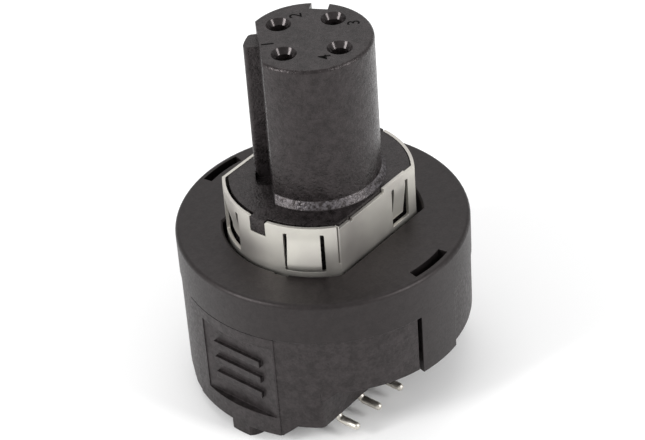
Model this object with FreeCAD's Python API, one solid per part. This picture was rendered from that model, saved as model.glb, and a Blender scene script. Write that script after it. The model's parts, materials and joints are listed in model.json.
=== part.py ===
"""Four-pole circular connector for a circuit board: round base with clipped cover, contact carrier
with a keyed mating post, shield band with spring tabs, and a small transformer board inside.
Millimetres. +Z is the mating direction, X runs along the flats of the shield band, and the origin
is on the post's axis in the plane of the circuit board that the connector stands on."""
import FreeCAD
import Part
import math
import os

# ---------------------------------------------------------------- driving dimensions
BODY_R = 9.9                # outer radius of the cover and of the base's label block
BASE_R = 9.84               # outer radius of the rest of the base
COVER_TOP = 11.3            # top face of the cover
PARTING = 8.2               # line between cover and base
COVER_EDGE = 0.3            # rounding of the cover's top edge
COVER_LOWER_EDGE = 0.08
PLATE_BOTTOM = 9.7          # underside of the cover's top plate
RIM_WALL = 1.05             # thickness of the cover's rim
OPENING_R = 6.7             # round sides of the opening in the cover
OPENING_Y = 5.12            # flat sides of the opening, from the axis
OPENING_CHAMFER = 0.13
LATCHES = (268.0, 88.0)     # directions of the two snap arms
LATCH_SPAN = 20.0           # degrees of the rim that a snap arm covers
LATCH_GAP = 1.9             # degrees of the open slot beside a snap arm
LATCH_FOOT = 3.6            # lower end of a snap arm
LATCH_R = 8.97              # inner face of a snap arm
SLOT = (8.8, 9.45)          # inner and outer radius of the slots above the snap arms

LIP = 3.95                  # underside of the base outside the flats
LIP_CHAMFER = 0.8
FLAT_Y = 5.75               # the base below the lip is cut back to these flats
FLAT_CORNER = 0.5
FLOOR = (1.0, 2.0)          # underside and top of the base's floor
CAVITY_R = 8.3              # inside of the base
CAVITY_Y = 4.95             # half width of the cavity below the board
SHELF = 4.8                 # ledge that carries the inner board
SKIRT = (125, 205.5)        # the stretch of the rim at -X that reaches down to the circuit board
SKIRT_RIGHT_END = 35        # the mirrored stretch at +X ends here
SKIRT_WALL = 1.55
SKIRT_FOOT = (148, 199)     # its lower edge stands on the board between these ramps
SKIRT_REAR = (143, 0.6)     # end and height of the rear ramp
PEG_X = 8.85                # the two locating pegs, from the axis
PEG_R = 1.25
PEG_LENGTH = 0.85
PEG_BOSS_R = 1.9
BLOCK = (154.5, 198.4)      # the label block stands slightly proud of the base
PANEL = (162.8, 197.6)      # the label panel on the side of the base
PANEL_Z = (1.5, 7.4)
PANEL_X = 9.39              # its flat face, from the axis
BAR_HALF = 1.95             # half the length of the plain bars on it

NECK_R = 6.0                # round sides of the carrier's neck
NECK_Y = 4.67               # flat sides of the neck
NECK_TOP = 14.87
FLANGE_R = 7.6
FLANGE_Y = 6.3
FLANGE_BOTTOM = 7.9
POST_R = 4.17               # mating post
POST_TOP = 25.35
POST_EDGE = 0.25
CONE_R = 4.5                # foot of the post
CONE_TOP = 15.4
KEYWAY = 28.0               # direction of the keyway
KEYWAY_WIDTH = 1.22
KEYWAY_DEPTH = 0.9
CHORD = 135.0               # direction of the flat that carries the rib
CHORD_DISTANCE = 3.2
GROOVE = (-0.9, 2.15)       # pocket sunk into the neck in front of that flat, along the flat
GROOVE_R = 4.2
GROOVE_BOTTOM = 14.45
RIB = (0.6, 2.15)           # coding rib, along the flat
RIB_R = 4.28
RIB_TOP = 24.6
RIB_EDGE = 0.28

PITCH_R = 2.5               # circle of the four contacts
CONTACTS = (180, 90, 0, 270)
FUNNEL_R = 0.82
MOUTH_R = 0.56
THROAT_R = 0.54             # narrow end of the tapered mouth
FUNNEL_BOTTOM = 24.95
CELL_R = 0.87               # cell in the carrier that a socket sits in
CELL_TOP = 24.2
SOCKET_R = 0.85
SOCKET_BORE = 0.52
SOCKET_DEPTH = 6.5
SLIT_WIDTH = 0.16
SLIT_DEPTH = 3.0
SLIT_TURN = 25              # degrees between a slit and the line to the post's axis
COLLAR_R = 1.05
COLLAR = (8.9, 9.7)
TAIL_R = 0.35
TAIL_END = 4.3

SHEET = 0.22                # sheet metal of the shield band
BAND_R = 6.36               # outside of the band
BAND_X = -0.1               # the band sits loosely, a little to one side
BAND_Y = 4.92
BAND = (PLATE_BOTTOM + 0.02, 14.88)
LOW_EDGE = 14.67            # lower stretch of the band's upper edge
RAISED = (0.6, 2.95)        # stretch of the flat at -Y where the band stands higher
RAISED_TOP = 15.0
NUB_SPAN = 11.4             # degrees of the notch in the band and of the nub that fills it
NUB_BOTTOM = 13.72
NOTCH_CORNER = 0.18
ROUND_TABS = (209.5, 150.5, 29.5, 330.5)
TAB_SPAN = 19.6
TAB_WINDOW = 24.4
TAB_Z = (11.7, 14.3)
ROUND_LEANS = (-8.0, 10.0, -8.0, 10.0)    # degrees that a relaxed round tab leans inwards
FLAT_TAB_X = (1.65, 2.85)
FLAT_TAB_Z = (11.65, 14.3)
FLAT_LEAN = 7.0
FLAT_SLIT = 0.27
WINDOW_BOTTOM = 11.4
WINDOW_CORNER = 0.12
ROOT_GAP = 0.06
LEG_X = (3.1, 3.75)

BOARD_R = 8.2
BOARD = (SHELF, 5.8)
LEAD_R = 0.27
LEAD_Y = 4.5
LEAD_KNEE_Z = 1.46
LEAD_HEEL_Y = 5.5
LEAD_TIP_Y = 6.82
LEAD_BEND = 0.4
LEADS = (1.2, 3.6, 6.0)
BAR_X = (0.3, 6.5)
BAR_Y = (4.08, 4.92)
BAR_Z = (2.0, 3.6)
LEAD_EXIT_Y = 5.45          # outer side of the slots in the floor that the leads come out of

TRANSFORMER = (5.4, 0.0, 2.3, 1.0, 2.05)   # place x, y, outer radius, hole radius, height
CHOKE = (2.3, -3.3, 1.4, 0.6, 1.5)
WIRE = 0.25                 # thickness of a winding
CAPACITOR = (4.4, 2.0, 1.7)
CAPACITOR_PLACE = (2.2, 6.4)
RESISTOR = (1.6, 0.8, 0.45)
RESISTOR_PITCH = 2.1
RESISTOR_Y = -6.45


# ---------------------------------------------------------------- simple shapes
def polar(radius, angle, z=0.0):
    a = math.radians(angle)
    return FreeCAD.Vector(radius * math.cos(a), radius * math.sin(a), z)


def cylinder(radius, low, high, x=0.0, y=0.0):
    return Part.makeCylinder(radius, high - low, FreeCAD.Vector(x, y, low))


def block(x, y, z):
    corner = FreeCAD.Vector(x[0], y[0], z[0])
    return Part.makeBox(x[1] - x[0], y[1] - y[0], z[1] - z[0], corner)


def sector(inner, outer, start, end, low, high, x=0.0):
    """Part of a ring between two directions."""
    middle = (start + end) / 2
    outside = Part.Arc(polar(outer, start, low), polar(outer, middle, low), polar(outer, end, low))
    inside = Part.Arc(polar(inner, end, low), polar(inner, middle, low), polar(inner, start, low))
    edges = [
        outside.toShape(),
        Part.makeLine(polar(outer, end, low), polar(inner, end, low)),
        inside.toShape(),
        Part.makeLine(polar(inner, start, low), polar(outer, start, low)),
    ]
    shape = Part.Face(Part.Wire(edges)).extrude(FreeCAD.Vector(0, 0, high - low))
    shape.translate(FreeCAD.Vector(x, 0, 0))
    return shape


def double_flat(radius, half_width, low, high, x=0.0):
    """Cylinder with two flats, facing +Y and -Y."""
    slab = block((-2 * radius, 2 * radius), (-half_width, half_width), (low, high))
    return cylinder(radius, low, high, x).common(slab)


def turned(shape, angle):
    """The shape turned about the post's axis."""
    copy = shape.copy()
    copy.rotate(FreeCAD.Vector(0, 0, 0), FreeCAD.Vector(0, 0, 1), angle)
    return copy


def radial_block(direction, near, far, width, z):
    return turned(block((near, far), (-width / 2, width / 2), z), direction)


def radial_prism(direction, outline, near, far):
    """An outline in (tangent, z) pushed outwards along a direction."""
    points = [FreeCAD.Vector(near, t, z) for t, z in outline]
    face = Part.Face(Part.makePolygon(points + points[:1]))
    return turned(face.extrude(FreeCAD.Vector(far - near, 0, 0)), direction)


def pair(shape):
    """The shape and its copy half a turn round the axis."""
    return [shape, turned(shape, 180)]


def round_edges(shape, radius, wanted):
    edges = [edge for edge in shape.Edges if wanted(edge)]
    return shape.makeFillet(radius, edges)


def flat_at(edge, z):
    box = edge.BoundBox
    return abs(box.ZMin - z) < 1e-6 and abs(box.ZMax - z) < 1e-6


# ---------------------------------------------------------------- housing
def top_cover():
    body = cylinder(BODY_R, PARTING, COVER_TOP)
    body = round_edges(body, COVER_EDGE, lambda edge: flat_at(edge, COVER_TOP))
    body = round_edges(body, COVER_LOWER_EDGE, lambda edge: flat_at(edge, PARTING))
    opening = double_flat(OPENING_R, OPENING_Y, PLATE_BOTTOM - 1, COVER_TOP + 1)
    body = body.cut(opening)
    body = body.makeChamfer(OPENING_CHAMFER, [
        edge for edge in body.Edges
        if flat_at(edge, COVER_TOP) and edge.BoundBox.DiagonalLength < 2.2 * OPENING_R
    ])
    step = sector(OPENING_R - 0.5, OPENING_R + 0.25, 192, 200, COVER_TOP - 0.6, COVER_TOP + 1)
    body = body.cut(step).cut(cylinder(BODY_R - RIM_WALL, PARTING - 1, PLATE_BOTTOM))
    for direction in LATCHES:
        half = LATCH_SPAN / 2
        arm = sector(LATCH_R, BODY_R, direction - half, direction + half, LATCH_FOOT, PARTING + 0.5)
        hook = sector(LATCH_R - 0.35, LATCH_R + 0.1, direction - half + 3, direction + half - 3,
                      LATCH_FOOT + 0.35, LATCH_FOOT + 0.85)
        slot = sector(SLOT[0], SLOT[1], direction - half + 0.3, direction + half + 0.3,
                      PLATE_BOTTOM - 0.8, COVER_TOP + 1)
        body = body.fuse(arm).fuse(hook).cut(slot)
    return body.removeSplitter()


def skirt():
    """The stretch of the rim at -X, with the label block and a ramp at each end of its foot."""
    body = sector(BASE_R - SKIRT_WALL, BASE_R, *SKIRT, 0, LIP + 0.1)
    body = body.fuse(sector(BASE_R - SKIRT_WALL, BODY_R, *BLOCK, 0, LIP + 0.1))
    front = (SKIRT_FOOT[1] + SKIRT[1]) / 2
    half = BODY_R * math.sin(math.radians(SKIRT[1] - front))
    slope = FLOOR[0] / (2 * half)
    reach = 2 * half
    body = body.cut(radial_prism(front, [(-half, 0), (reach, 0), (reach, slope * (reach + half))],
                                 CAVITY_Y, BODY_R + 1))
    rear = (SKIRT_FOOT[0] + SKIRT_REAR[0]) / 2
    half = BODY_R * math.sin(math.radians(SKIRT_FOOT[0] - rear))
    height = SKIRT_REAR[1]
    outline = [(half, 0), (-half, height), (-CAVITY_Y, height), (-CAVITY_Y, 0)]
    return body.cut(radial_prism(rear, outline, CAVITY_Y, BODY_R + 1))


def lip_chamfer():
    """Slanted underside between the lip and the flat at -Y."""
    near, low = -FLAT_Y + 0.05, LIP - LIP_CHAMFER
    outline = [(near, LIP + 0.05), (near, low - 0.05), (-FLAT_Y - LIP_CHAMFER - 0.05, LIP + 0.05)]
    points = [FreeCAD.Vector(-BASE_R, y, z) for y, z in outline]
    face = Part.Face(Part.makePolygon(points + points[:1]))
    prism = face.extrude(FreeCAD.Vector(2 * BASE_R, 0, 0))
    return prism.common(cylinder(BASE_R, low - 0.1, LIP + 0.1))


def base_outline():
    lower = double_flat(BASE_R, FLAT_Y, FLOOR[0], LIP + 0.1)
    lower = round_edges(lower, FLAT_CORNER, lambda edge: abs(abs(edge.CenterOfMass.y) - FLAT_Y) < 1e-3
                        and edge.BoundBox.ZLength > LIP - FLOOR[0])
    body = cylinder(BASE_R, LIP, PARTING).fuse(lower)
    block_wall = sector(BASE_R - SKIRT_WALL, BODY_R, *BLOCK, FLOOR[0], PARTING)
    left = skirt()
    right = left.mirror(FreeCAD.Vector(0, 0, 0), FreeCAD.Vector(1, 0, 0))
    kept = sector(CAVITY_Y, BODY_R + 1, 180 - SKIRT[1] - 1, SKIRT_RIGHT_END, -1, LIP + 1)
    for piece in [left, right.common(kept)] + pair(block_wall) + pair(lip_chamfer()):
        body = body.fuse(piece)
    return body.removeSplitter()


def base_cavity():
    upper = cylinder(CAVITY_R, SHELF, PARTING + 1)
    lower = double_flat(CAVITY_R, CAVITY_Y, FLOOR[1], SHELF + 0.1)
    return upper.fuse(lower)


def label_panel():
    """Sunk flat panel with three plain raised bars."""
    cutter = sector(PANEL_X - 1, BODY_R + 1, PANEL[0], PANEL[1], PANEL_Z[0], PANEL_Z[1])
    cutter = cutter.common(block((-BODY_R - 1, -PANEL_X), (-BODY_R, BODY_R), PANEL_Z))
    bar_height, bar_thickness = 0.5, 0.26
    for z in (2.9, 4.2, 5.5):
        bar = block((-PANEL_X - bar_thickness, -PANEL_X + 0.1), (-BAR_HALF, BAR_HALF),
                    (z, z + bar_height))
        cutter = cutter.cut(bar)
    return cutter


def base_housing():
    body = base_outline().cut(base_cavity()).cut(label_panel())
    clear = 0.04
    for direction in LATCHES:
        half = LATCH_SPAN / 2
        gap = sector(LATCH_R - clear, BODY_R + 1, direction - half - LATCH_GAP, direction + half + 0.4,
                     LIP - 1, PARTING + 1)
        catch = sector(LATCH_R - 0.42, LATCH_R + 0.1, direction - half + 2.4, direction + half - 2.4,
                       LATCH_FOOT + 0.3, LATCH_FOOT + 0.92)
        body = body.cut(gap).cut(catch)
    for side in (-1, 1):
        boss = cylinder(PEG_BOSS_R, 0, FLOOR[0] + 0.1, side * PEG_X)
        peg = cylinder(PEG_R, -PEG_LENGTH, 0.1, side * PEG_X)
        body = body.fuse(boss.fuse(peg).common(cylinder(BODY_R, -PEG_LENGTH, LIP)))
    exit_slot = block((-BAR_X[1] + 0.1, -BAR_X[0] - 0.1), (-LEAD_EXIT_Y, -BAR_Y[0]),
                      (FLOOR[0] - 0.5, FLOOR[1] + 0.1))
    for opening in pair(exit_slot):
        body = body.cut(opening)
    return body.removeSplitter()


# ---------------------------------------------------------------- contact carrier
def along_flat(u, v, z):
    """Block in front of the post's flat: u away from the axis, v along the flat, away from -Y."""
    return turned(block(u, (-v[1], -v[0]), z), CHORD)


def coding_rib():
    z = (GROOVE_BOTTOM - 0.5, RIB_TOP)
    rib = along_flat((PITCH_R, BODY_R), RIB, z).common(cylinder(RIB_R, z[0], z[1]))
    return round_edges(rib, RIB_EDGE, lambda edge: abs(edge.BoundBox.ZLength - (z[1] - z[0])) < 1e-6
                       and math.hypot(edge.CenterOfMass.x, edge.CenterOfMass.y) > RIB_R - 0.01)


def rib_groove():
    """Pocket in the neck that lets the mating key pass below the post's foot."""
    z = (GROOVE_BOTTOM, NECK_TOP + 1)
    return along_flat((CHORD_DISTANCE, BODY_R), GROOVE, z).common(cylinder(GROOVE_R, z[0], z[1]))


def mating_post():
    post = cylinder(POST_R, NECK_TOP - 1, POST_TOP)
    post = round_edges(post, POST_EDGE, lambda edge: flat_at(edge, POST_TOP))
    foot = Part.makeCone(CONE_R, POST_R, CONE_TOP - NECK_TOP, FreeCAD.Vector(0, 0, NECK_TOP))
    post = post.fuse(foot)
    span = (-BODY_R, BODY_R)
    chord = turned(block((CHORD_DISTANCE, BODY_R), span, (GROOVE_BOTTOM - 1, POST_TOP + 1)), CHORD)
    post = post.cut(chord)
    post = post.fuse(coding_rib())
    keyway = radial_block(KEYWAY, POST_R - KEYWAY_DEPTH, BODY_R, KEYWAY_WIDTH,
                          (CONE_TOP, POST_TOP + 1))
    return post.cut(keyway)


def tab_pockets():
    """Room in the neck for the spring tabs to lean into."""
    pockets = []
    for direction in ROUND_TABS:
        half = TAB_SPAN / 2 + 3
        pockets.append(sector(NECK_R - 0.75, NECK_R + 1, direction - half, direction + half,
                              TAB_Z[0] - 0.5, TAB_Z[1] + 0.2))
    strip = block((FLAT_TAB_X[0] - 0.3, FLAT_TAB_X[1] + 0.3), (-NECK_Y - 1, -NECK_Y + 0.6),
                  (FLAT_TAB_Z[0] - 0.5, FLAT_TAB_Z[1] + 0.2))
    return pockets + pair(strip)


def contact_cell(direction):
    place = polar(PITCH_R, direction)
    funnel = Part.makeCone(MOUTH_R, FUNNEL_R, POST_TOP - FUNNEL_BOTTOM,
                           FreeCAD.Vector(place.x, place.y, FUNNEL_BOTTOM))
    mouth = Part.makeCone(THROAT_R, MOUTH_R, FUNNEL_BOTTOM - CELL_TOP + 0.1,
                          FreeCAD.Vector(place.x, place.y, CELL_TOP - 0.1))
    cell = cylinder(CELL_R, FLANGE_BOTTOM - 1, CELL_TOP, place.x, place.y)
    recess = cylinder(COLLAR_R + 0.02, FLANGE_BOTTOM - 1, COLLAR[1], place.x, place.y)
    return funnel.fuse(mouth).fuse(cell).fuse(recess)


def contact_carrier():
    neck = double_flat(NECK_R, NECK_Y, PLATE_BOTTOM - 0.5, NECK_TOP)
    flange = double_flat(FLANGE_R, FLANGE_Y, FLANGE_BOTTOM, PLATE_BOTTOM)
    body = neck.fuse(flange)
    for pocket in tab_pockets():
        body = body.cut(pocket)
    body = body.cut(rib_groove()).fuse(mating_post())
    nub = sector(NECK_R - 0.5, BAND_R - 0.02, -NUB_SPAN / 2 + 0.4, NUB_SPAN / 2 - 0.4,
                 NUB_BOTTOM + 0.05, NECK_TOP)
    for piece in pair(nub):
        piece.translate(FreeCAD.Vector(BAND_X, 0, 0))
        body = body.fuse(piece)
    leg_slot = block((LEG_X[0] - 0.15, LEG_X[1] + 0.15), (-BAND_Y - 0.1, -NECK_Y),
                     (FLANGE_BOTTOM - 1, PLATE_BOTTOM + 1))
    for slot in pair(leg_slot):
        body = body.cut(slot)
    for direction in (30, 150, 210, 330):
        foot = polar(6.6, direction)
        body = body.fuse(cylinder(0.7, BOARD[1], FLANGE_BOTTOM + 0.1, foot.x, foot.y))
    for direction in CONTACTS:
        body = body.cut(contact_cell(direction))
    return body.removeSplitter()


def socket_contact(direction):
    place = polar(PITCH_R, direction)
    body = cylinder(SOCKET_R, COLLAR[1] - 0.1, CELL_TOP, place.x, place.y)
    body = body.fuse(cylinder(COLLAR_R, COLLAR[0], COLLAR[1], place.x, place.y))
    body = body.fuse(cylinder(TAIL_R, TAIL_END, COLLAR[0] + 0.1, place.x, place.y))
    body = body.cut(cylinder(SOCKET_BORE, CELL_TOP - SOCKET_DEPTH, CELL_TOP + 1, place.x, place.y))
    slit = block((-2 * SOCKET_R, 2 * SOCKET_R), (-SLIT_WIDTH / 2, SLIT_WIDTH / 2),
                 (CELL_TOP - SLIT_DEPTH, CELL_TOP + 1))
    slit = turned(slit, direction + SLIT_TURN)
    slit.translate(place)
    return body.cut(slit).removeSplitter()


# ---------------------------------------------------------------- shield band
def band_wall():
    outside = double_flat(BAND_R, BAND_Y, BAND[0], BAND[1], BAND_X)
    inside = double_flat(BAND_R - SHEET, BAND_Y - SHEET, BAND[0] - 1, BAND[1] + 1, BAND_X)
    return outside.cut(inside)


def shield_band():
    band = band_wall()
    raised = block(RAISED, (-BAND_Y, -BAND_Y + SHEET), (BAND[1] - 0.1, RAISED_TOP))
    band = band.fuse(raised)
    low_edge = block((-4.1, RAISED[0]), (-BAND_Y - 1, -BAND_Y + 1), (LOW_EDGE, BAND[1] + 1))
    nick = block((-3.0, -2.7), (-BAND_Y - 1, -BAND_Y + 1), (LOW_EDGE - 0.15, BAND[1] + 1))
    window = block((FLAT_TAB_X[0] - FLAT_SLIT, FLAT_TAB_X[1] + FLAT_SLIT), (-BAND_Y - 1, -BAND_Y + 1),
                   (WINDOW_BOTTOM, FLAT_TAB_Z[1] + ROOT_GAP))
    seam = block((-4.24, -4.16), (-BAND_Y - 1, -BAND_Y + 1), (11.95, BAND[1] + 1))
    for shape in (low_edge, nick, window, seam):
        for cutter in pair(shape):
            band = band.cut(cutter)
    for direction in ROUND_TABS:
        half = TAB_WINDOW / 2
        band = band.cut(sector(BAND_R - 1, BAND_R + 1, direction - half, direction + half,
                               WINDOW_BOTTOM, TAB_Z[1] + ROOT_GAP, BAND_X))
    for direction in (0, 180):
        half = NUB_SPAN / 2
        notch = sector(BAND_R - 1, BAND_R + 1, direction - half, direction + half,
                       NUB_BOTTOM, BAND[1] + 1, BAND_X)
        band = band.cut(notch)
    band = round_edges(band, NOTCH_CORNER, lambda edge: flat_at(edge, BAND[1])
                       and edge.Length < 1.5 * SHEET and abs(edge.CenterOfMass.y) < 1)
    ends = (WINDOW_BOTTOM, TAB_Z[1] + ROOT_GAP)
    band = round_edges(band, WINDOW_CORNER, lambda edge: edge.Length < 1.5 * SHEET
                       and any(flat_at(edge, z) for z in ends))
    leg = block(LEG_X, (-BAND_Y, -BAND_Y + SHEET), (BOARD[1], BAND[0] + 0.1))
    for piece in pair(leg):
        band = band.fuse(piece)
    return band.removeSplitter()


def leaned(tab, direction, root, lean):
    """A tab bent about the tangent through its root; a positive lean points inwards."""
    tangent = polar(1, direction + 90)
    copy = tab.copy()
    copy.rotate(root, tangent, lean)
    return copy


def round_tab(direction, lean):
    half = TAB_SPAN / 2
    tab = sector(BAND_R - SHEET, BAND_R, direction - half, direction + half,
                 TAB_Z[0], TAB_Z[1], BAND_X)
    root = polar(BAND_R - SHEET / 2, direction, TAB_Z[1]) + FreeCAD.Vector(BAND_X, 0, 0)
    return leaned(tab, direction, root, lean)


def flat_tab(direction):
    tab = block(FLAT_TAB_X, (-BAND_Y, -BAND_Y + SHEET), FLAT_TAB_Z)
    root = FreeCAD.Vector(sum(FLAT_TAB_X) / 2, -BAND_Y + SHEET / 2, FLAT_TAB_Z[1])
    return turned(leaned(tab, 270, root, FLAT_LEAN), direction - 270)


# ---------------------------------------------------------------- inner board and leads
def lead_places():
    front = [(-x, -1) for x in reversed(LEADS)]
    back = [(x, 1) for x in reversed(LEADS)]
    return front + back


def inner_board():
    board = cylinder(BOARD_R, BOARD[0], BOARD[1])
    for direction in CONTACTS:
        place = polar(PITCH_R, direction)
        board = board.cut(cylinder(TAIL_R + 0.05, BOARD[0] - 1, BOARD[1] + 1, place.x, place.y))
    for x, side in lead_places():
        board = board.cut(cylinder(LEAD_R + 0.05, BOARD[0] - 1, BOARD[1] + 1, x, side * LEAD_Y))
    return board


def bent_path(points, bend):
    """Straight runs joined by tangent arcs."""
    edges = []
    start = points[0]
    for before, corner, after in zip(points, points[1:], points[2:]):
        back = (before - corner).normalize()
        ahead = (after - corner).normalize()
        half_turn = (math.pi - back.getAngle(ahead)) / 2
        setback = bend * math.tan(half_turn)
        inside = (back + ahead).normalize()
        middle = corner + inside * (bend / math.cos(half_turn) - bend)
        end = corner + ahead * setback
        edges.append(Part.makeLine(start, corner + back * setback))
        edges.append(Part.Arc(corner + back * setback, middle, end).toShape())
        start = end
    edges.append(Part.makeLine(start, points[-1]))
    return Part.Wire(edges)


def lead(x, side):
    """Round wire down from the board, out through the floor and along to a round end."""
    route = [
        FreeCAD.Vector(x, side * LEAD_Y, BOARD[1] + 0.4),
        FreeCAD.Vector(x, side * LEAD_Y, LEAD_KNEE_Z),
        FreeCAD.Vector(x, side * LEAD_HEEL_Y, LEAD_R),
        FreeCAD.Vector(x, side * LEAD_TIP_Y, LEAD_R),
    ]
    section = Part.Wire(Part.makeCircle(LEAD_R, route[0]))
    wire = bent_path(route, LEAD_BEND).makePipeShell([section], True, True)
    return wire.fuse(Part.makeSphere(LEAD_R, route[-1])).removeSplitter()


def lead_bar(side):
    bar = block((-BAR_X[1], -BAR_X[0]), (-BAR_Y[1], -BAR_Y[0]), BAR_Z)
    bar = bar if side < 0 else turned(bar, 180)
    for x, lead_side in lead_places():
        if lead_side == side:
            bar = bar.cut(cylinder(LEAD_R, BAR_Z[0] - 1, BAR_Z[1] + 1, x, side * LEAD_Y))
    return bar


def ring_core(place, half_turn):
    x, y, outer, hole, height = place
    low = SHELF - WIRE - height
    ring = cylinder(outer - WIRE, low, low + height - WIRE, x, y)
    ring = ring.cut(cylinder(hole + WIRE, low - 1, low + height, x, y))
    return turned(ring, half_turn)


def ring_winding(place, half_turn):
    """Two wound stretches round a ring core."""
    x, y, outer, hole, height = place
    low = SHELF - WIRE - height
    top = low + height - WIRE
    coils = []
    for start in (15, 195):
        outside = sector(hole, outer, start, start + 150, low - WIRE, top + WIRE)
        inside = sector(hole + WIRE, outer - WIRE, start - 1, start + 151, low, top)
        coil = outside.cut(inside)
        coil.translate(FreeCAD.Vector(x, y, 0))
        coils.append(turned(coil, half_turn))
    return Part.makeCompound(coils)


def capacitor():
    length, width, height = CAPACITOR
    body = block((-length, 0), (-width / 2, width / 2), (BOARD[1], BOARD[1] + height))
    body.translate(FreeCAD.Vector(*CAPACITOR_PLACE, 0))
    return round_edges(body, 0.15, lambda edge: True)


def resistors():
    length, width, height = RESISTOR
    chip = block((-length / 2, length / 2), (-width / 2, width / 2), (BOARD[1], BOARD[1] + height))
    chips = []
    for step in (-1.5, -0.5, 0.5, 1.5):
        copy = chip.copy()
        copy.translate(FreeCAD.Vector(step * RESISTOR_PITCH, RESISTOR_Y, 0))
        chips.append(copy)
    return Part.makeCompound(chips)


# ---------------------------------------------------------------- assembly
def assembly():
    parts = {
        "top_cover": top_cover(),
        "base_housing": base_housing(),
        "contact_carrier": contact_carrier(),
        "shield_band": shield_band(),
        "inner_board": inner_board(),
        "line_capacitor": capacitor(),
        "line_resistors": resistors(),
        "lead_bar_front": lead_bar(-1),
        "lead_bar_back": lead_bar(1),
    }
    for number, direction in enumerate(CONTACTS, 1):
        parts[f"socket_contact_{number}"] = socket_contact(direction)
    for number, direction in enumerate(ROUND_TABS, 1):
        parts[f"round_tab_{number}"] = round_tab(direction, ROUND_LEANS[number - 1])
    for number, direction in enumerate((270, 90), 1):
        parts[f"flat_tab_{number}"] = flat_tab(direction)
    for number, (x, side) in enumerate(lead_places(), 1):
        parts[f"lead_{number}"] = lead(x, side)
    for number, half_turn in enumerate((0, 180), 1):
        parts[f"transformer_core_{number}"] = ring_core(TRANSFORMER, half_turn)
        parts[f"transformer_winding_{number}"] = ring_winding(TRANSFORMER, half_turn)
        parts[f"choke_core_{number}"] = ring_core(CHOKE, half_turn)
        parts[f"choke_winding_{number}"] = ring_winding(CHOKE, half_turn)
    return parts


os.makedirs("parts", exist_ok=True)
for node, shape in assembly().items():
    shape.exportStep(f"parts/{node}.step")
    print(node, "solids", len(shape.Solids), "valid", shape.isValid(), "volume", round(shape.Volume, 2))
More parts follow.
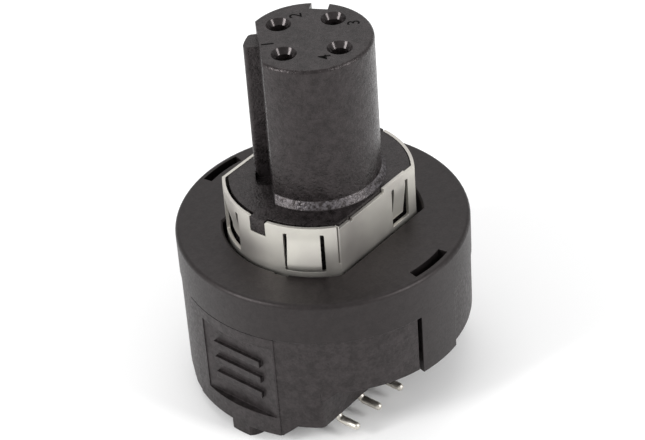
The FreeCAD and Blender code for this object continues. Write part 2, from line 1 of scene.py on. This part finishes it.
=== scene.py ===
"""Looks of the four-pole circular board connector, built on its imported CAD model. Metres throughout."""
import json
import math
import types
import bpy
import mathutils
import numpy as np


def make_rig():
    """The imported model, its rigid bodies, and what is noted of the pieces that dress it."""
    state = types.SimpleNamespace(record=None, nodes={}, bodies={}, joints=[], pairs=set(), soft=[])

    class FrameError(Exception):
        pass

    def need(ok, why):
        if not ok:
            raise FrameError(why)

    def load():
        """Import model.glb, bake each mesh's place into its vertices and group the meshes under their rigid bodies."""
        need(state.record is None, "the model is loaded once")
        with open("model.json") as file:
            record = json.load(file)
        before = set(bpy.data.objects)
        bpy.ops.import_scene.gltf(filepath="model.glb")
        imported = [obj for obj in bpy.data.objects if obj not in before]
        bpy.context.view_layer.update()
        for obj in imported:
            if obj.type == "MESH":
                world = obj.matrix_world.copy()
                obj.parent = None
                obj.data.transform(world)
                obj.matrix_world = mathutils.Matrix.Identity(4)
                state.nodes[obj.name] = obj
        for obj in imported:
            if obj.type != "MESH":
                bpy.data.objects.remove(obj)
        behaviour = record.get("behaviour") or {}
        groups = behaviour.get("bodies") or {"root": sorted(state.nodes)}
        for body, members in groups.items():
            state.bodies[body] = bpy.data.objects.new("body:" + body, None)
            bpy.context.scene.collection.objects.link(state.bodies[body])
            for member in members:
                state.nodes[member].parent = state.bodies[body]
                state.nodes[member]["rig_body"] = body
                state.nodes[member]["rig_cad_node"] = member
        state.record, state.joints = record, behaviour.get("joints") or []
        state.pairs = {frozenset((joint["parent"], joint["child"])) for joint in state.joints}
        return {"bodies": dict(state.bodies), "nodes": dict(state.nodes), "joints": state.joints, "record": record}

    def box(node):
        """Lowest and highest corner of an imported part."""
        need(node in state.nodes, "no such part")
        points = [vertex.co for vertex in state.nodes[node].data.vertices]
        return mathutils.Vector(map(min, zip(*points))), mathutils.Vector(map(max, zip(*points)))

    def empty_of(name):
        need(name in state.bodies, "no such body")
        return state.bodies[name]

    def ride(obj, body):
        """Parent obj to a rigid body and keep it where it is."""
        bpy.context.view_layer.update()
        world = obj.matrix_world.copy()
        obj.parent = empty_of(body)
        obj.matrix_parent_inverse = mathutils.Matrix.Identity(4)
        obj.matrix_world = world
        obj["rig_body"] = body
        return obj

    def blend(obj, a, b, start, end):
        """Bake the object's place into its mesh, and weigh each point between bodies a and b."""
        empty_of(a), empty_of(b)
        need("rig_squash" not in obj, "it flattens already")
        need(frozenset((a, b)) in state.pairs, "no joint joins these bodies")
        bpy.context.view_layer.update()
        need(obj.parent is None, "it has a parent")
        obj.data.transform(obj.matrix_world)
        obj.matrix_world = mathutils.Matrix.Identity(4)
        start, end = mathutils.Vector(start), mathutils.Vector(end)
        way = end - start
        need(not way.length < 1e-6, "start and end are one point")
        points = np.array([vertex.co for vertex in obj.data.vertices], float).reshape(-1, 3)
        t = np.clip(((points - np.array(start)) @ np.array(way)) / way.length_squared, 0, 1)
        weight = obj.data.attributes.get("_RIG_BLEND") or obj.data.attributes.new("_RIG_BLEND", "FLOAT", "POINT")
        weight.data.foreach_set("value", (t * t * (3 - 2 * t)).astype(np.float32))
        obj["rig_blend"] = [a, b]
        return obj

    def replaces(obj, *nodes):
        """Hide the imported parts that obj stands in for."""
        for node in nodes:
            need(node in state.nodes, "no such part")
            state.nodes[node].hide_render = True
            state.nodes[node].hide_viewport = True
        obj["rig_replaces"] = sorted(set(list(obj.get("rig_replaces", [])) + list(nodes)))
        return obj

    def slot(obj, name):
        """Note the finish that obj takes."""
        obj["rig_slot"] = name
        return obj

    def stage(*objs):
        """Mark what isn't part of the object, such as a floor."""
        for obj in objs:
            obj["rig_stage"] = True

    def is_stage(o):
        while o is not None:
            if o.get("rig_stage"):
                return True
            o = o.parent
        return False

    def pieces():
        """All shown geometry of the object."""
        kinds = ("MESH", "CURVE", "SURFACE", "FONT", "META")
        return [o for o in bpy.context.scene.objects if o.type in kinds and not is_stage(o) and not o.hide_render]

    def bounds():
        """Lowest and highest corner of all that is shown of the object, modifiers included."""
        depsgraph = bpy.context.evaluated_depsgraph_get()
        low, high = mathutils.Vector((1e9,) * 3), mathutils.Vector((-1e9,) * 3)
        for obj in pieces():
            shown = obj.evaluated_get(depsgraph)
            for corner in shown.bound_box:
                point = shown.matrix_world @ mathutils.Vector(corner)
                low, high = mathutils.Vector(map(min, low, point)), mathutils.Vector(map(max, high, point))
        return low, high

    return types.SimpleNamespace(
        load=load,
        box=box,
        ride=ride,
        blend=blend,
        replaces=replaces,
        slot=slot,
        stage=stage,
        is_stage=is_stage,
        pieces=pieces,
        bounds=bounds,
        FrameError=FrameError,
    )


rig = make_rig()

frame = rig.load()

import bmesh
import bpy
from mathutils import Matrix, Vector

bpy.context.view_layer.update()
cad_low, cad_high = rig.bounds()

MM = 0.001
nodes = frame["nodes"]
scene = bpy.context.scene
scene.view_settings.view_transform = "Standard"

# ---------------------------------------------------------------- named values
VIEW_TARGET = Vector((0.82, 0.74, 10.0)) * MM     # point that the camera looks at
VIEW_DISTANCE = 153.92 * MM
VIEW_AZIMUTH = -48.81                             # degrees; 0 looks along +Y
VIEW_ELEVATION = 36.54
VIEW_ROLL = -4.36
LENS = 127.03
SENSOR = 36.0

# name, azimuth and elevation in degrees, distance and size in metres, power in watts
LIGHTS = (
    ("key", -110, 27, 0.35, (0.08, 0.2), 0.82),
    ("fill", 12, 27, 0.35, (0.08, 0.2), 0.66),
    ("top", 131, 62, 0.4, (0.3, 0.3), 0.35),
)
WORLD_STRENGTH = 0.69
FLOOR_HALF = 0.6
FLOOR_COLOUR = (0.95, 0.95, 0.95, 1.0)

BAND_R = 6.36 * MM            # outside of the shield band where it is round
BAND_X = -0.1 * MM            # how far it sits to one side
BAND_Y = 4.92 * MM            # from the middle to the outside of its flats
SHEET = 0.22 * MM             # thickness
LEAF_OVERLAP = 0.18 * MM      # how far a leaf runs up over its root
LEAF_BEND = 0.7 * MM          # length over which a leaf bends at its root
LEAF_TIP = 0.5 * MM           # length of the curled tip
LEAF_EXTRA = 1.12             # a leaf leans this much more below its bend, to make up for it
LEAF_PROUD = 0.002 * MM       # clear of the sheet that it overlaps
LEAF_STEPS = 40               # faces along a leaf and across it
LEAF_COLUMNS = 16
LEAF_SHARP = 40               # degrees; edges turned by more than this stay sharp
# direction from the middle, lean and tip curl, in degrees; a lean above 0 goes inwards
ROUND_LEAVES = ((209.5, -8, 42), (150.5, 10, -15), (29.5, -8, 42), (330.5, 10, -15))
ROUND_HALF = 9.8              # half the angle that a round leaf spans, in degrees
FLAT_LEAN = 7                 # lean of the leaves on the flats

CONTACT_R = 2.5 * MM          # circle of the four openings
FUNNEL_R = 0.815 * MM         # just inside a funnel's rim
POST_R = 4.18 * MM            # just past the post's side
FOOT_RING = (15.16 * MM, 0.25 * MM)    # middle and half height of the ring at the post's foot
# middle of each number, in millimetres
DIGITS = {"1": (-2.16, 1.56), "2": (1.47, 2.23), "3": (2.83, -1.43), "4": (-1.37, -2.42)}
DIGIT_SIZE = 1.15 * MM
DIGIT_TURN = 45               # degrees
DIGIT_DEPTH = 0.003 * MM
DIGIT_WEIGHT = 0.01 * MM      # extra width of the strokes

PLASTIC_IOR = 1.42
PLASTIC_TINT = (1.0, 0.91, 0.91, 1.0)
PLASTIC_EDGE = 0.06 * MM      # rounding of the moulded edges
SHEET_EDGE = 0.04 * MM
FUNNEL_ROUGHNESS = 0.17
# pale colour of the specks on the ring at the post's foot: painted highlight glints
RING_GLINT_COLOUR = (0.12, 0.112, 0.12, 1.0)
RING_POLISH = 0.1             # how much less rough the ring is than the post
RING_RELIEF = 0.05 * MM
BLACK = (0.0055, 0.0045, 0.0045)
EVEN = (0.0115, 0.0095, 0.0095)
BLOTCHED = (0.022, 0.0185, 0.019)
OWN_FINISH = {"base_housing": "base_plastic"}     # nodes that don't take their slot's finish


# ---------------------------------------------------------------- camera and light
def away_from_target(azimuth, elevation):
    """Unit vector from the target towards a camera or a lamp; azimuth 0 looks along +Y."""
    a = math.radians(azimuth)
    e = math.radians(elevation)
    return Vector((math.sin(a) * math.cos(e), -math.cos(a) * math.cos(e), math.sin(e)))


def add_camera():
    back = away_from_target(VIEW_AZIMUTH, VIEW_ELEVATION)
    data = bpy.data.cameras.new("camera")
    data.lens = LENS
    data.sensor_width = SENSOR
    data.clip_start = 1 * MM
    data.clip_end = 10.0
    camera = bpy.data.objects.new("camera", data)
    scene.collection.objects.link(camera)
    turn = (-back).to_track_quat("-Z", "Y").to_matrix().to_4x4()
    roll = Matrix.Rotation(math.radians(VIEW_ROLL), 4, "Z")
    camera.matrix_world = Matrix.Translation(VIEW_TARGET + back * VIEW_DISTANCE) @ turn @ roll
    scene.camera = camera


def add_area_light(name, azimuth, elevation, distance, size, power):
    away = away_from_target(azimuth, elevation)
    data = bpy.data.lights.new(name, "AREA")
    data.shape = "RECTANGLE"
    data.size, data.size_y = size
    data.energy = power
    lamp = bpy.data.objects.new(name, data)
    lamp.location = VIEW_TARGET + away * distance
    lamp.rotation_euler = (-away).to_track_quat("-Z", "Y").to_euler()
    scene.collection.objects.link(lamp)


def add_world():
    world = bpy.data.worlds.new("studio")
    world.use_nodes = True
    shade = world.node_tree.nodes["Background"]
    shade.inputs["Color"].default_value = (1.0, 1.0, 1.0, 1.0)
    shade.inputs["Strength"].default_value = WORLD_STRENGTH
    scene.world = world


# ---------------------------------------------------------------- materials
def new_material(name):
    material = bpy.data.materials.new(name)
    material.use_nodes = True
    tree = material.node_tree
    return material, tree, tree.nodes["Principled BSDF"]


def add_node(tree, kind, **inputs):
    node = tree.nodes.new(kind)
    for name, value in inputs.items():
        node.inputs[name.replace("_", " ")].default_value = value
    return node


def noise(tree, scale, detail=3.0, roughness=0.5):
    """Noise over the object's own coordinates; scale is in grains per metre."""
    place = tree.nodes.new("ShaderNodeTexCoord")
    node = add_node(tree, "ShaderNodeTexNoise", Scale=scale, Detail=detail, Roughness=roughness)
    tree.links.new(place.outputs["Object"], node.inputs["Vector"])
    return node.outputs["Fac"]


def ramp(tree, value, stops):
    """Colour ramp with (position, colour) stops."""
    node = tree.nodes.new("ShaderNodeValToRGB")
    tree.links.new(value, node.inputs["Fac"])
    points = node.color_ramp.elements
    while len(points) < len(stops):
        points.new(0.5)
    for point, (position, colour) in zip(points, stops):
        point.position = position
        point.color = (*colour, 1.0)
    return node.outputs["Color"]


def spread(tree, value, low, high, start=0.3, end=0.7):
    """The value between start and end, stretched to run from low to high."""
    node = add_node(tree, "ShaderNodeMapRange", From_Min=start, From_Max=end, To_Min=low, To_Max=high)
    tree.links.new(value, node.inputs["Value"])
    return node.outputs["Result"]


def bump(tree, height, distance, strength, normal=None):
    node = add_node(tree, "ShaderNodeBump", Distance=distance, Strength=strength)
    tree.links.new(height, node.inputs["Height"])
    if normal is not None:
        tree.links.new(normal, node.inputs["Normal"])
    return node.outputs["Normal"]


def soft_edges(tree, radius):
    node = add_node(tree, "ShaderNodeBevel", Radius=radius)
    node.samples = 4
    return node.outputs["Normal"]


def calculate(tree, operation, *values):
    """A Math node's result; each value is a socket or a plain number."""
    node = tree.nodes.new("ShaderNodeMath")
    node.operation = operation
    for number, value in enumerate(values):
        if isinstance(value, float):
            node.inputs[number].default_value = value
        else:
            tree.links.new(value, node.inputs[number])
    return node.outputs[0]


def length(tree, x, y):
    """Length of the flat vector x, y."""
    squares = [calculate(tree, "MULTIPLY", side, side) for side in (x, y)]
    return calculate(tree, "SQRT", calculate(tree, "ADD", *squares))


def object_axes(tree):
    """The object's own coordinates, as the sockets x, y and z."""
    place = tree.nodes.new("ShaderNodeTexCoord")
    split = tree.nodes.new("ShaderNodeSeparateXYZ")
    tree.links.new(place.outputs["Object"], split.inputs["Vector"])
    return split.outputs["X"], split.outputs["Y"], split.outputs["Z"]


def funnel_mask(tree):
    """1 inside the four funnels, 0 elsewhere."""
    x, y, _ = object_axes(tree)
    sides = [calculate(tree, "ABSOLUTE", side) for side in (x, y)]
    along = calculate(tree, "SUBTRACT", calculate(tree, "MAXIMUM", *sides), CONTACT_R)
    across = calculate(tree, "MINIMUM", *sides)
    return calculate(tree, "LESS_THAN", length(tree, along, across), FUNNEL_R)


def foot_ring(tree):
    """1 on the coned ring at the post's foot, 0 elsewhere."""
    x, y, z = object_axes(tree)
    level = calculate(tree, "COMPARE", z, *FOOT_RING)
    outside = calculate(tree, "GREATER_THAN", length(tree, x, y), POST_R)
    return calculate(tree, "MULTIPLY", level, outside)


def choose(tree, factor, value, other):
    """The value where factor is 0, and a plain number where it is 1."""
    node = tree.nodes.new("ShaderNodeMix")
    tree.links.new(factor, node.inputs["Factor"])
    tree.links.new(value, node.inputs["A"])
    node.inputs["B"].default_value = other
    return node.outputs["Result"]


def ring_glints_polish_and_grit(tree, colour, roughness, normal):
    """The same three sockets, with pale specks of painted highlight in the colour, some polish and a grit bump on the
    ring at the post's foot.
    """
    ring = foot_ring(tree)
    grains = noise(tree, 4200.0, 2.0, 0.6)
    painted_glints = spread(tree, grains, 0.0, 0.75, 0.4, 0.62)
    # painted highlight: pale specks mixed into the ring's colour in place of glints
    paint = tree.nodes.new("ShaderNodeMix")
    paint.data_type = "RGBA"
    tree.links.new(calculate(tree, "MULTIPLY", ring, painted_glints), paint.inputs["Factor"])
    tree.links.new(colour, paint.inputs["A"])
    paint.inputs["B"].default_value = RING_GLINT_COLOUR
    polish = calculate(tree, "MULTIPLY", ring, RING_POLISH)
    grit = add_node(tree, "ShaderNodeBump", Distance=RING_RELIEF)
    tree.links.new(grains, grit.inputs["Height"])
    tree.links.new(ring, grit.inputs["Strength"])
    tree.links.new(normal, grit.inputs["Normal"])
    return paint.outputs["Result"], calculate(tree, "SUBTRACT", roughness, polish), grit.outputs["Normal"]


def grained_plastic(name, dark, pale, gloss, grain, relief, strength, post=False):
    """Glass-filled black plastic: mottled colour under a matt grain. On the post the funnels are polished and
    the ring at its foot is polished and gritty, with pale specks of painted highlight in its colour."""
    material, tree, shader = new_material(name)
    shader.inputs["IOR"].default_value = PLASTIC_IOR
    shader.inputs["Specular Tint"].default_value = PLASTIC_TINT
    fine = noise(tree, grain, 3.0, 0.6)
    colour = ramp(tree, noise(tree, 1600.0, 7.0, 0.78), [(0.4, dark), (0.6, pale)])
    roughness = spread(tree, fine, *gloss)
    edges = soft_edges(tree, PLASTIC_EDGE)
    height = fine
    if post:
        mask = funnel_mask(tree)
        roughness = choose(tree, mask, roughness, FUNNEL_ROUGHNESS)
        height = choose(tree, mask, fine, 0.5)
        # the ring at the post's foot gets pale specks of painted highlight, more polish and a grit bump
        colour, roughness, edges = ring_glints_polish_and_grit(tree, colour, roughness, edges)
    tree.links.new(colour, shader.inputs["Base Color"])
    tree.links.new(roughness, shader.inputs["Roughness"])
    tree.links.new(bump(tree, height, relief, strength, edges), shader.inputs["Normal"])
    return material


def sheet_metal(name, edge=SHEET_EDGE):
    """Satin tinned sheet with faint handling smudges and rolling marks."""
    material, tree, shader = new_material(name)
    smudge = noise(tree, 260.0, 3.0, 0.5)
    fine = noise(tree, 7000.0, 2.0)
    shader.inputs["Metallic"].default_value = 0.85
    colour = ramp(tree, smudge, [(0.3, (0.49, 0.462, 0.435)), (0.7, (0.64, 0.622, 0.568))])
    tree.links.new(colour, shader.inputs["Base Color"])
    tree.links.new(spread(tree, smudge, 0.36, 0.52), shader.inputs["Roughness"])
    rounded = soft_edges(tree, edge) if edge else None
    tree.links.new(bump(tree, fine, 0.003 * MM, 0.4, rounded), shader.inputs["Normal"])
    return material


def plain_metal(name, dark, pale, roughness):
    material, tree, shader = new_material(name)
    mottle = noise(tree, 1500.0, 3.0)
    shader.inputs["Metallic"].default_value = 1.0
    tree.links.new(ramp(tree, mottle, [(0.3, dark), (0.7, pale)]), shader.inputs["Base Color"])
    tree.links.new(spread(tree, mottle, *roughness), shader.inputs["Roughness"])
    tree.links.new(bump(tree, mottle, 0.006 * MM, 0.3), shader.inputs["Normal"])
    return material


def plain_solid(name, dark, pale, roughness):
    material, tree, shader = new_material(name)
    mottle = noise(tree, 1200.0, 4.0)
    tree.links.new(ramp(tree, mottle, [(0.35, dark), (0.65, pale)]), shader.inputs["Base Color"])
    tree.links.new(spread(tree, mottle, *roughness), shader.inputs["Roughness"])
    tree.links.new(bump(tree, mottle, 0.01 * MM, 0.3), shader.inputs["Normal"])
    return material


def digit_shade(name):
    """Near-black matt painted shade of the contact numbers, standing in for the shade in their sunk strokes."""
    material, tree, shader = new_material(name)
    shader.inputs["Specular IOR Level"].default_value = 0.05
    mottle = noise(tree, 6000.0, 2.0)
    colour = ramp(tree, mottle, [(0.3, (0.001, 0.001, 0.001)), (0.7, (0.006, 0.005, 0.005))])
    tree.links.new(colour, shader.inputs["Base Color"])
    tree.links.new(spread(tree, mottle, 0.7, 0.9), shader.inputs["Roughness"])
    return material


def make_materials():
    return {
        "housing_plastic": grained_plastic("housing_plastic", BLACK, EVEN, (0.36, 0.5), 6500.0,
                                           0.01 * MM, 0.6),
        "base_plastic": grained_plastic("base_plastic", BLACK, BLOTCHED, (0.36, 0.56), 4200.0,
                                        0.03 * MM, 0.8),
        "insert_plastic": grained_plastic("insert_plastic", BLACK, BLOTCHED, (0.16, 0.44), 5200.0,
                                          0.045 * MM, 1.0, post=True),
        "digit_shade": digit_shade("digit_shade"),
        "shield_leaf": sheet_metal("shield_leaf", edge=None),
        "shield_sheet": sheet_metal("shield_sheet"),
        "contact_gold": plain_metal("contact_gold", (0.72, 0.5, 0.2), (0.8, 0.6, 0.27), (0.15, 0.3)),
        "tinned_wire": plain_metal("tinned_wire", (0.5, 0.47, 0.42), (0.72, 0.69, 0.63), (0.36, 0.5)),
        "board": plain_solid("board", (0.012, 0.07, 0.03), (0.018, 0.1, 0.04), (0.3, 0.45)),
        "ferrite": plain_solid("ferrite", (0.02, 0.02, 0.022), (0.04, 0.04, 0.042), (0.5, 0.7)),
        "copper_wire": plain_metal("copper_wire", (0.55, 0.2, 0.08), (0.7, 0.3, 0.13), (0.2, 0.35)),
        "ceramic": plain_solid("ceramic", (0.25, 0.17, 0.1), (0.32, 0.22, 0.14), (0.35, 0.5)),
        "chip": plain_solid("chip", (0.02, 0.02, 0.02), (0.035, 0.035, 0.035), (0.35, 0.5)),
    }


def paint_nodes(materials):
    for part in frame["record"]["subparts"]:
        name, slot = part["node"], part["material_slot"]
        nodes[name].data.materials.clear()
        nodes[name].data.materials.append(materials[OWN_FINISH.get(name, slot)])
        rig.slot(nodes[name], slot)


# ---------------------------------------------------------------- spring leaves and digits
def polar(radius, angle, z):
    a = math.radians(angle)
    return Vector((radius * math.cos(a), radius * math.sin(a), z))


def smooth(value):
    value = min(max(value, 0.0), 1.0)
    return value * value * (3 - 2 * value)


def leaf_profile(reach, lean, curl):
    """Middle of a leaf's sheet from its root to its tip, as (outward, down, slope) steps."""
    step = reach / LEAF_STEPS
    outward, down = -SHEET / 2, -LEAF_OVERLAP
    profile = []
    for number in range(LEAF_STEPS + 1):
        along = number * step - LEAF_OVERLAP
        bent = smooth(along / LEAF_BEND)
        curled = smooth((along - reach + LEAF_OVERLAP + LEAF_TIP) / LEAF_TIP)
        slope = math.radians(lean * LEAF_EXTRA * bent + curl * curled)
        profile.append((outward, down, slope))
        outward -= math.sin(slope) * step
        down += math.cos(slope) * step
    return profile


def leaf_faces(lines, columns):
    """Faces of a leaf: two sides of lines by columns points, joined all round the rim."""
    row = columns + 1
    layer = row * lines
    faces = []
    for line in range(lines - 1):
        for column in range(columns):
            corner = line * row + column
            back = layer + corner
            faces.append((corner, corner + 1, corner + row + 1, corner + row))
            faces.append((back, back + row, back + row + 1, back + 1))
        for column in (0, columns):
            corner = line * row + column
            faces.append((corner, corner + row, layer + corner + row, layer + corner))
    for line in (0, lines - 1):
        for column in range(columns):
            corner = line * row + column
            faces.append((corner, corner + 1, layer + corner + 1, layer + corner))
    return faces


def add_leaf(name, node, body, place, root_z, tip_z, lean, curl, material):
    """A spring leaf that grows out of the band; place(across, outward, z) puts a point of it in the frame."""
    profile = leaf_profile(root_z - tip_z + LEAF_OVERLAP, lean, curl)
    spots = [2 * column / LEAF_COLUMNS - 1 for column in range(LEAF_COLUMNS + 1)]
    points = []
    for side in (0.5, -0.5):
        for outward, down, slope in profile:
            off = outward + LEAF_PROUD + side * SHEET * math.cos(slope)
            z = root_z - down - side * SHEET * math.sin(slope)
            points += [place(across, off, z) for across in spots]
    mesh = bpy.data.meshes.new(name)
    mesh.from_pydata(points, [], leaf_faces(len(profile), LEAF_COLUMNS))
    shape = bmesh.new()
    shape.from_mesh(mesh)
    bmesh.ops.recalc_face_normals(shape, faces=shape.faces)
    shape.to_mesh(mesh)
    shape.free()
    mesh.polygons.foreach_set("use_smooth", [True] * len(mesh.polygons))
    mesh.set_sharp_from_angle(angle=math.radians(LEAF_SHARP))
    mesh.materials.append(material)
    leaf = bpy.data.objects.new(name, mesh)
    scene.collection.objects.link(leaf)
    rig.blend(leaf, "connector", body, place(0, 0, root_z), place(0, 0, root_z - LEAF_BEND))
    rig.replaces(leaf, node)
    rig.slot(leaf, "shield_sheet")


def add_leaves(material):
    for number, (direction, lean, curl) in enumerate(ROUND_LEAVES, 1):
        node = f"round_tab_{number}"
        low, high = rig.box(node)

        def on_round(across, outward, z, direction=direction):
            point = polar(BAND_R + outward, direction + across * ROUND_HALF, z)
            return point + Vector((BAND_X, 0, 0))

        add_leaf(f"round_leaf_{number}", node, node, on_round, high.z, low.z, lean, curl, material)
    for number, turn in ((1, 1), (2, -1)):
        node = f"flat_tab_{number}"
        low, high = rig.box(node)

        def on_flat(across, outward, z, low=low, high=high, turn=turn):
            middle, half = (low.x + high.x) / 2, (high.x - low.x) / 2
            return Vector((middle + turn * across * half, -turn * (BAND_Y + outward), z))

        add_leaf(f"flat_leaf_{number}", node, node, on_flat, high.z, low.z, FLAT_LEAN, 0, material)


def add_digits(material):
    """The small contact numbers on the post's top, as thin shapes in near-black painted shade."""
    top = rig.box("contact_carrier")[1].z
    for digit, (x, y) in DIGITS.items():
        text = bpy.data.curves.new(f"digit_{digit}", "FONT")
        text.body = digit
        text.size = DIGIT_SIZE
        text.align_x = "CENTER"
        text.align_y = "CENTER"
        text.extrude = DIGIT_DEPTH
        text.offset = DIGIT_WEIGHT
        # near-black painted shade of the sunk strokes, not the plastic's own colour
        text.materials.append(material)
        mark = bpy.data.objects.new(f"digit_{digit}", text)
        mark.location = (x * MM, y * MM, top)
        mark.rotation_euler = (0, 0, math.radians(DIGIT_TURN))
        scene.collection.objects.link(mark)
        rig.ride(mark, "connector")
        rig.slot(mark, "insert_plastic")


# ---------------------------------------------------------------- floor
def add_floor():
    corners = [(x * FLOOR_HALF, y * FLOOR_HALF, cad_low.z) for x, y in ((-1, -1), (1, -1), (1, 1), (-1, 1))]
    mesh = bpy.data.meshes.new("floor")
    mesh.from_pydata(corners, [], [(0, 1, 2, 3)])
    floor = bpy.data.objects.new("floor", mesh)
    scene.collection.objects.link(floor)
    material, tree, shader = new_material("floor")
    shader.inputs["Base Color"].default_value = FLOOR_COLOUR
    shader.inputs["Roughness"].default_value = 0.8
    mesh.materials.append(material)
    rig.stage(floor)


add_camera()
add_world()
for light in LIGHTS:
    add_area_light(*light)
add_floor()
materials = make_materials()
paint_nodes(materials)
add_leaves(materials["shield_leaf"])
add_digits(materials["digit_shade"])

with open("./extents.json", "w") as out:
    low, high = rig.bounds()
    json.dump({"cad": [list(cad_low), list(cad_high)], "visual": [list(low), list(high)]}, out)
